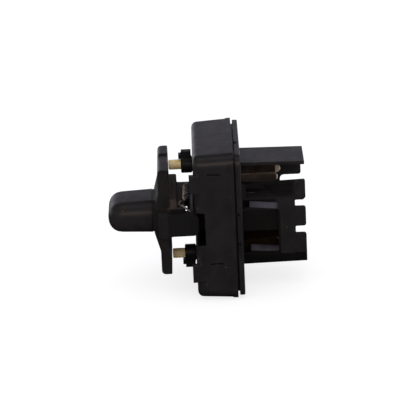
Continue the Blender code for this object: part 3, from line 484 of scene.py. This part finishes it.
# Black acetal, moulded as a bearing: waxy and slightly warm, with softer glints than the nylon
mouldedAcetal = mouldedPlastic("mouldedBlackAcetal", dict(
    ior=1.48, specular=0.36, dark="#191716", light="#22201e", fleck="#37322e", fleckShare=0.25,
    flowMm=5.0, fleckMm=0.6, smudgeMm=3.0, rough=0.42, roughSwing=0.08,
    grainMm=0.5, grainStrength=0.10, grainDepth=0.05, sinkMm=6.0, sinkDepth=0.07))

# Fine-textured ABS on the finger knob: a satin skin, rubbed a little smoother in patches by use
texturedAbs = mouldedPlastic("fineTexturedAbs", dict(
    ior=1.53, specular=0.40, dark="#1a1818", light="#242120", fleck="#322d2a", fleckShare=0.22,
    flowMm=6.0, fleckMm=0.5, smudgeMm=3.6, rough=0.42, roughSwing=0.07,
    grainMm=0.4, grainStrength=0.12, grainDepth=0.05, sinkMm=10.0, sinkDepth=0.06))

# Bush nylon with carbon black from a polished mould: a deep even black, nearly without grain
bushNylon = mouldedPlastic("polishedMouldBushNylon", dict(
    ior=1.53, specular=0.28, dark="#121212", light="#191817", fleck="#242220", fleckShare=0.2,
    flowMm=3.0, fleckMm=0.4, smudgeMm=2.0, rough=0.46, roughSwing=0.06,
    grainMm=0.5, grainStrength=0.05, grainDepth=0.04, sinkMm=4.0, sinkDepth=0.03))

# Painted light on the key ledges' facets: the cover's nylon painted pale, with a smoother, glossier skin
paintedLitLedgeNylon = mouldedPlastic("ledgePaintedLightNylon", dict(
    ior=1.53, specular=0.50, dark="#4a474f", light="#5d5963", fleck="#716d76", fleckShare=0.3,
    flowMm=3.0, fleckMm=0.4, smudgeMm=2.0, rough=0.30, roughSwing=0.06,
    grainMm=0.4, grainStrength=0.10, grainDepth=0.04, sinkMm=3.0, sinkDepth=0.03))

# Painted shade for the case's pivot slot: near black, with hardly a glint
paintedSlotShade = mouldedPlastic("paintedShadePivotSlot", dict(
    ior=1.46, specular=0.04, dark="#020202", light="#060505", fleck="#120f0d", fleckShare=0.2,
    flowMm=2.0, fleckMm=0.5, smudgeMm=2.0, rough=0.85, roughSwing=0.08,
    grainMm=0.6, grainStrength=0.2, grainDepth=0.05, sinkMm=2.0, sinkDepth=0.04))

# Phenolic board, pressed with a mineral filler: dull brown-black with pale grit
phenolic = mouldedPlastic("pressedPhenolicBoard", dict(
    ior=1.58, specular=0.45, dark="#1f1a17", light="#2b2420", fleck="#4a4038", fleckShare=0.5,
    flowMm=3.0, fleckMm=0.3, smudgeMm=3.0, rough=0.52, roughSwing=0.08,
    grainMm=0.3, grainStrength=0.2, grainDepth=0.05, sinkMm=8.0, sinkDepth=0.04))

rolling = dict(
    stainDetail=5.0, stainRoughness=0.62, stainLow=0.34, stainHigh=0.68,
    lineDetail=3.0, lineRoughness=0.6, lineLow=0.3, lineHigh=0.7, lineDepth=0.02)


def rolledMetal(name, recipe):
    recipe = dict(rolling, **recipe)
    made, tree, shader, place = newMaterial(name, {"Metallic": 1.0})
    stain = addNode(tree, "ShaderNodeTexNoise", {
        "Scale": perMm(recipe["stainMm"]), "Detail": recipe["stainDetail"],
        "Roughness": recipe["stainRoughness"]}, {"Vector": place})
    colour = addNode(tree, "ShaderNodeValToRGB", links={"Fac": stain.outputs["Fac"]}, stops=(
        (recipe["stainLow"], recipe["dark"]), (recipe["stainHigh"], recipe["light"])))
    # A noise that is stretched along one axis draws the lines of rolling, shearing or brushing
    stretched = addNode(tree, "ShaderNodeMapping", {"Scale": recipe["stretch"]}, {"Vector": place})
    lines = addNode(tree, "ShaderNodeTexNoise", {
        "Scale": perMm(recipe["lineMm"]), "Detail": recipe["lineDetail"],
        "Roughness": recipe["lineRoughness"]}, {"Vector": stretched.outputs["Vector"]})
    rough = addNode(tree, "ShaderNodeMapRange", {
        "From Min": recipe["lineLow"], "From Max": recipe["lineHigh"],
        "To Min": recipe["rough"] - recipe["roughSwing"],
        "To Max": recipe["rough"] + recipe["roughSwing"]}, {"Value": lines.outputs["Fac"]})
    scratch = addNode(tree, "ShaderNodeBump", {
        "Strength": recipe["lineStrength"], "Distance": recipe["lineDepth"] * mm}, {
        "Height": lines.outputs["Fac"]})
    feedShader(tree, shader, {
        "Base Color": colour.outputs["Color"], "Roughness": rough.outputs["Result"],
        "Normal": scratch.outputs["Normal"]})
    return made


# Rolled tin bronze, stamped and left bare: dull brown with lines along the strip and darker tarnish
stampedBronze = rolledMetal("stampedTinBronze", dict(
    dark="#7a6e65", light="#9a8b80", stainMm=3.0, stretch=(0.05, 1.0, 1.0), lineMm=0.30,
    rough=0.36, roughSwing=0.04, lineStrength=0.06))

# The sheared rim of the same strip: freshly broken metal, paler and rougher than the rolled faces
shearedBronze = rolledMetal("shearedTinBronze", dict(
    dark="#e0c3a6", light="#f6e6d3", stainMm=0.8, stretch=(1.0, 0.12, 1.0), lineMm=0.2,
    rough=0.56, roughSwing=0.06, lineStrength=0.2))

# Rolled brass strip of the contact bridges: yellow, brushed across
rolledBrass = rolledMetal("rolledBrassStrip", dict(
    dark="#a3813f", light="#d2ad62", stainMm=2.0, stretch=(1.0, 0.08, 1.0), lineMm=0.2,
    rough=0.30, roughSwing=0.08, lineStrength=0.3))

# Drawn spring steel wire: pale grey with a fine even grain, and patches of oil that darken it
springSteel = rolledMetal("drawnSpringSteel", dict(
    dark="#bdb9b3", light="#f4f2ee", stainMm=1.1, stretch=(1.0, 1.0, 1.0), lineMm=0.25,
    rough=0.42, roughSwing=0.08, lineStrength=0.15))

ivory = dict(
    ior=1.48, glowShare=0.25, glowDepth=0.6, glowReach=(1.0, 0.75, 0.45),
    filmMm=2.2, filmDetail=5.0, filmRoughness=0.6, filmLow=0.36, filmHigh=0.66,
    greasedAndShaded="#cfb57c", clean="#ecdaa8", glossLow=0.3, glossHigh=0.7, roughLeast=0.26, roughMost=0.44,
    drawMm=0.35, drawStretch=(0.08, 1.0, 1.0), drawDetail=2.0, drawStrength=0.18, drawDepth=0.03)


def makeNaturalAcetal():
    # Undyed acetal, moulded: ivory, lets a little light into its edges, with a grease film that yellows it
    made, tree, shader, place = newMaterial("mouldedNaturalAcetal", {
        "IOR": ivory["ior"], "Subsurface Weight": ivory["glowShare"],
        "Subsurface Scale": ivory["glowDepth"] * mm, "Subsurface Radius": ivory["glowReach"]})
    film = addNode(tree, "ShaderNodeTexNoise", {
        "Scale": perMm(ivory["filmMm"]), "Detail": ivory["filmDetail"],
        "Roughness": ivory["filmRoughness"]}, {"Vector": place})
    colour = addNode(tree, "ShaderNodeValToRGB", links={"Fac": film.outputs["Fac"]}, stops=(
        (ivory["filmLow"], ivory["greasedAndShaded"]), (ivory["filmHigh"], ivory["clean"])))
    rough = addNode(tree, "ShaderNodeMapRange", {
        "From Min": ivory["glossLow"], "From Max": ivory["glossHigh"],
        "To Min": ivory["roughLeast"], "To Max": ivory["roughMost"]}, {"Value": film.outputs["Fac"]})
    # Draw marks from the mould run along the pin, 0.35 mm apart
    stretched = addNode(tree, "ShaderNodeMapping", {"Scale": ivory["drawStretch"]}, {"Vector": place})
    drawn = addNode(tree, "ShaderNodeTexNoise", {
        "Scale": perMm(ivory["drawMm"]), "Detail": ivory["drawDetail"]}, {
        "Vector": stretched.outputs["Vector"]})
    marks = addNode(tree, "ShaderNodeBump", {
        "Strength": ivory["drawStrength"], "Distance": ivory["drawDepth"] * mm}, {
        "Height": drawn.outputs["Fac"]})
    feedShader(tree, shader, {
        "Base Color": colour.outputs["Color"], "Roughness": rough.outputs["Result"],
        "Normal": marks.outputs["Normal"]})
    return made


naturalAcetal = makeNaturalAcetal()

# Painted shade and painted highlights, laid on as films: the materials that each lies on, and its box of
# the part in mm.
# Between its patches a film covers the least share, and it fades in from the box's sides
paintedPatchNoise = dict(detail=4.0, roughness=0.6, low=0.30, high=0.52)
paintedLightPatches = (
    # Painted shade: the rocker's lugs below the spring, down in the slot between rocker and case, are made
    # brown and dull
    ((mouldedAcetal,), dict(
        x=(-12.1, -4.0), y=(-13.5, 14.0), z=(28.0, 40.0), fade=0.5, patchMm=2.6, least=0.75,
        colour="#3d332d", rough=0.8)),
    # Painted shade darkens the near cheek where it runs into the case; its front strip is left out, so it
    # stays lighter
    ((mouldedAcetal,), dict(
        x=(-12.9, -2.0), y=(-17.5, -12.0), z=(16.0, 29.6), fade=0.12, patchMm=4.0, least=0.8,
        colour="#151313", rough=0.5)),
    # Painted shade: the pivot slot in the case is painted near black
    ((mouldedNylon,), dict(
        x=(-4.6, -0.8), y=(-22.0, 22.0), z=(19.4, 30.4), fade=0.08, patchMm=4.0, least=0.9,
        colour="#020202", rough=0.9)),
    # Painted shade darkens the cover's skirt between the ledges
    ((mouldedCoverNylon,), dict(
        x=(11.6, 24.05), y=(-12.0, 0.5), z=(9.5, 26.3), fade=0.12, patchMm=5.0, least=0.85,
        colour="#050505", rough=0.62)),
    # The same painted shade fades out over the hollow above it
    ((mouldedCoverNylon,), dict(
        x=(11.6, 30.0), y=(-13.0, 0.0), z=(29.6, 38.6), fade=1.9, patchMm=5.0, least=0.85,
        colour="#050404", rough=0.75)),
    # The painted shade is darkest at the foot of the wall
    ((mouldedCoverNylon,), dict(
        x=(11.6, 34.0), y=(-14.0, -6.0), z=(7.0, 11.2), fade=0.25, patchMm=5.0, least=0.9,
        colour="#020202", rough=0.8)),
    # Painted highlight: the lead-in ends of the upper blades are painted bright
    ((stampedBronze,), dict(
        x=(23.2, 40.0), y=(-30.0, 30.0), z=(22.5, 60.0), fade=0.15, patchMm=3.0, least=0.9,
        colour="#fff2e4", rough=0.72)),
    # Painted shade tones down the painted light on the lower key ledge, so it is less pale than the upper
    # one
    ((paintedLitLedgeNylon,), dict(
        x=(0.0, 60.0), y=(-30.0, 30.0), z=(5.0, 17.0), fade=0.3, patchMm=2.0, least=0.7,
        colour="#333136", rough=0.42)),
    # Painted shade: the lower row of blades is painted dark brown
    ((stampedBronze, shearedBronze), dict(
        x=(0.0, 60.0), y=(-20.0, 20.0), z=(5.0, 22.5), fade=0.3, patchMm=3.0, least=0.9,
        colour="#3a2c20", rough=0.55)))


def addPaintedLight(made, film):
    # Patchy painted light over the colour and the roughness that the material already has: a painted shade
    # where its colour is dark, a painted highlight where it is pale
    tree = made.node_tree
    shader = next(node for node in tree.nodes if node.type == "BSDF_PRINCIPLED")
    place = next(node for node in tree.nodes if node.type == "TEX_COORD").outputs["Object"]
    bareColour = shader.inputs["Base Color"].links[0].from_socket
    bareRough = shader.inputs["Roughness"].links[0].from_socket
    parts = addNode(tree, "ShaderNodeSeparateXYZ", links={"Vector": place})
    patches = addNode(tree, "ShaderNodeTexNoise", {
        "Scale": perMm(film["patchMm"]), "Detail": paintedPatchNoise["detail"],
        "Roughness": paintedPatchNoise["roughness"]}, {"Vector": place})
    share = addNode(tree, "ShaderNodeMapRange", {
        "From Min": paintedPatchNoise["low"], "From Max": paintedPatchNoise["high"], "To Min": film["least"]}, {
        "Value": patches.outputs["Fac"]}).outputs["Result"]
    for axis in ("x", "y", "z"):
        low, high = film[axis]
        for start, end in ((low, low + film["fade"]), (high, high - film["fade"])):
            inside = addNode(tree, "ShaderNodeMapRange", {
                "From Min": start * mm, "From Max": end * mm}, {"Value": parts.outputs[axis.upper()]})
            share = addNode(tree, "ShaderNodeMath", {"operation": "MULTIPLY"}, {
                0: share, 1: inside.outputs["Result"]}).outputs[0]
    paintedColour = addNode(tree, "ShaderNodeMix", {"data_type": "RGBA", "B": toLinear(film["colour"])}, {
        "Factor": share, "A": bareColour})
    rough = addNode(tree, "ShaderNodeMix", {"data_type": "FLOAT", "B": film["rough"]}, {
        "Factor": share, "A": bareRough})
    feedShader(tree, shader, {
        "Base Color": paintedColour.outputs["Result"], "Roughness": rough.outputs["Result"]})


# Each material gets its painted shade and highlights
for coatedMaterials, film in paintedLightPatches:
    for made in coatedMaterials:
        addPaintedLight(made, film)
print("materials made")


# Pieces keep the frame's forms, with the soft edges of mouldings and stampings. Angles are in degrees, and
# lengths are in millimetres where they aren't times mm already

case = dict(
    weld=0.035 * mm, round=0.12 * mm, steps=2, angle=32.0, smooth=32.0,
    slotX=(-4.3, -0.6), slotZ=(19.3, 27.5), slotUpward=0.6)
casePiece = carryOver("front_housing", "moulded_case", case, mouldedNylon, "case", "case")
# The upward faces in the pivot slot get the painted shade
greasedAndShaded = coatFaces(casePiece, paintedSlotShade, lambda centre, normal: (
    isWithin(centre.x, case["slotX"]) and isWithin(centre.z, case["slotZ"])
    and normal.z > case["slotUpward"]))
print("case moulded, greased faces", greasedAndShaded)

cover = dict(
    weld=0.03 * mm, round=0.12 * mm, steps=2, angle=32.0, smooth=32.0,
    ledgeX=(14.0, 23.9), ledgeNearY=-8.0, ledgeLevel=0.9, ledgeReach=0.7, nearSlack=0.1, nearBand=0.3,
    lip=0.35, rise=1.45, run=1.8, facetLikeness=0.97,
    ledges=(dict(topZ=26.55, farY=-1.8), dict(topZ=11.4, farY=-5.3)))


def slopeLedge(piece, ledge):
    # The key ledges lead the plug in: each has a low lip and a facet that slopes up behind it
    def isTop(centre, normal):
        return (
            normal.z > cover["ledgeLevel"] and isWithin(centre.x, cover["ledgeX"])
            and abs(centre.z - ledge["topZ"] * mm) < cover["ledgeReach"] * mm)

    def isLedge(centre, normal):
        depth = (cover["ledgeNearY"] - cover["nearSlack"], ledge["farY"])
        return isTop(centre, normal) and isWithin(centre.y, depth)

    selectFaces(piece, isTop)
    bpy.ops.mesh.bisect(plane_co=(0.0, ledge["farY"] * mm, 0.0), plane_no=(0.0, 1.0, 0.0))
    bpy.ops.object.mode_set(mode="OBJECT")
    print("ledge faces", selectFaces(piece, isLedge))
    for height in (cover["lip"], cover["rise"]):
        bpy.ops.mesh.extrude_region_move(TRANSFORM_OT_translate={"value": (0.0, 0.0, height * mm)})
    work = bmesh.from_edit_mesh(piece.data)
    chosen = {vert for face in work.faces if face.select for vert in face.verts}
    nearLimit = (cover["ledgeNearY"] + cover["nearBand"]) * mm
    bpy.ops.mesh.select_mode(type="VERT")
    for vert in work.verts:
        vert.select_set(vert in chosen and vert.co.y < nearLimit)
    bmesh.update_edit_mesh(piece.data)
    bpy.ops.transform.translate(value=(0.0, cover["run"] * mm, 0.0))
    bpy.ops.object.mode_set(mode="OBJECT")


coverPiece = copyNode("rear_base", "moulded_cover", cover)
for ledge in cover["ledges"]:
    slopeLedge(coverPiece, ledge)
dress(soften(coverPiece, cover), mouldedCoverNylon, "case", "cover", "rear_base")
# The ledges' sloping facets get the pale painted light
facet = Vector((0.0, -cover["rise"], cover["run"])).normalized()
litFacets = coatFaces(coverPiece, paintedLitLedgeNylon, lambda centre, normal: (
    isWithin(centre.x, cover["ledgeX"]) and normal.dot(facet) > cover["facetLikeness"]))
print("cover moulded, rubbed faces", litFacets)

rocker = dict(weld=0.03 * mm, round=0.12 * mm, steps=2, angle=40.0, smooth=34.0)
carryOver("rocker", "moulded_rocker", rocker, mouldedAcetal, "rocker", "rocker")
print("rocker moulded")

# The pressed-on cap sits close to its collar, so its rim is pushed towards it
knob = dict(
    weld=0.02 * mm, round=0.08 * mm, steps=2, angle=45.0, smooth=40.0,
    rimX=(-18.15, -18.05), rimFacing=0.9, rimPush=0.18)
knobPiece = copyNode("knob_cap", "finger_knob", knob)
rimFaces = selectFaces(knobPiece, lambda centre, normal: (
    normal.x > knob["rimFacing"] and isWithin(centre.x, knob["rimX"])))
bpy.ops.transform.translate(value=(knob["rimPush"] * mm, 0.0, 0.0))
bpy.ops.object.mode_set(mode="OBJECT")
dress(soften(knobPiece, knob), texturedAbs, "rocker", "knob", "knob_cap")
print("knob moulded, rim faces", rimFaces)

guide = dict(weld=0.04 * mm, round=0.10 * mm, steps=2, angle=38.0, smooth=34.0)
for side in ("upper", "lower"):
    carryOver("guide_" + side, "moulded_guide_" + side, guide, bushNylon, "case", "bush")
print("guides moulded")

# The small parts have finer edges than the mouldings
fineEdge = dict(weld=0.01 * mm, round=0.06 * mm, steps=2, angle=32.0, smooth=32.0)
board = dict(fineEdge, round=0.10 * mm)
carryOver("terminal_board", "pressed_board", board, phenolic, "case", "board")

bridge = dict(fineEdge)
for side in ("upper", "lower"):
    carryOver(
        "contact_bridge_" + side, "stamped_bridge_" + side, bridge, rolledBrass,
        "plunger_" + side, "contact")
print("board and bridges made")

plunger = dict(fineEdge)
for side in ("upper", "lower"):
    carryOver(
        "plunger_" + side, "moulded_plunger_" + side, plunger, naturalAcetal,
        "plunger_" + side, "acetal")

# A blade's sheared rims face up and down, and its tip faces the plug
blade = dict(fineEdge, rimFacing=0.6, tipFacing=0.35, count=6)
for number in range(1, blade["count"] + 1):
    piece = carryOver(
        "terminal_%d" % number, "blade_%d" % number, blade, stampedBronze, "case", "terminal")
    coatFaces(piece, shearedBronze, lambda centre, normal: (
        abs(normal.z) > blade["rimFacing"] or normal.x > blade["tipFacing"]))
print("plungers and blades made")

plungerSpring = dict(fineEdge)


def dressPlungerSpring(side):
    # The spring runs between the plunger's bridge and the board. The piece keeps the node's form with soft
    # edges, and stays fixed, as it belongs to no body
    piece = copyNode("plunger_spring_" + side, "wound_plunger_spring_" + side, plungerSpring)
    soften(piece, plungerSpring)
    piece.data.materials.append(springSteel)
    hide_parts("plunger_spring_" + side)
    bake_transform(piece)


for side in ("upper", "lower"):
    dressPlungerSpring(side)
print("plunger springs wound")

# The return spring: close turns over the lugs, one leg on the near cheek and one towards the case
coil = dict(
    x=-6.65, radius=1.04, wire=0.33, wireResolution=3, smooth=60.0,
    centreZ=31.60, nearY=-7.4, farY=3.4, turns=5, stepsPerTurn=28,
    nearLeg=(
        (-5.2, -15.2, 29.35), (-6.0, -14.0, 29.5), (-7.5, -12.7, 30.4),
        (-9.2, -11.4, 30.62), (-8.4, -8.2, 30.6)),
    farLeg=((-6.0, 4.1, 31.7), (-5.9, 4.6, 31.6)))


def windSpring():
    points = list(coil["nearLeg"])
    total = coil["turns"] * coil["stepsPerTurn"]
    for k in range(total + 1):
        angle = -math.pi / 2 - 2 * math.pi * k / coil["stepsPerTurn"]  # the turns start at the bottom
        points.append((
            coil["x"] + coil["radius"] * math.cos(angle),
            coil["nearY"] + (coil["farY"] - coil["nearY"]) * k / total,
            coil["centreZ"] + coil["radius"] * math.sin(angle)))
    points.extend(coil["farLeg"])
    curve = bpy.data.curves.new("wound_return_spring", "CURVE")
    curve.dimensions = "3D"
    curve.bevel_depth = coil["wire"] * mm
    curve.bevel_resolution = coil["wireResolution"]
    curve.use_fill_caps = True
    spline = curve.splines.new("POLY")
    spline.points.add(len(points) - 1)
    for point, place in zip(spline.points, points):
        point.co = (*(Vector(place) * mm), 1.0)
    piece = bpy.data.objects.new("wound_return_spring", curve)
    bpy.context.scene.collection.objects.link(piece)
    makeActive(piece)
    bpy.ops.object.convert(target="MESH")
    bpy.ops.object.mode_set(mode="EDIT")
    bpy.ops.mesh.select_all(action="SELECT")
    bpy.ops.mesh.normals_make_consistent(inside=False)
    bpy.ops.object.mode_set(mode="OBJECT")
    bpy.ops.object.shade_smooth_by_angle(angle=math.radians(coil["smooth"]))
    return bpy.context.active_object


dress(windSpring(), springSteel, "rocker", "spring_steel", "return_spring")
print("return spring wound")
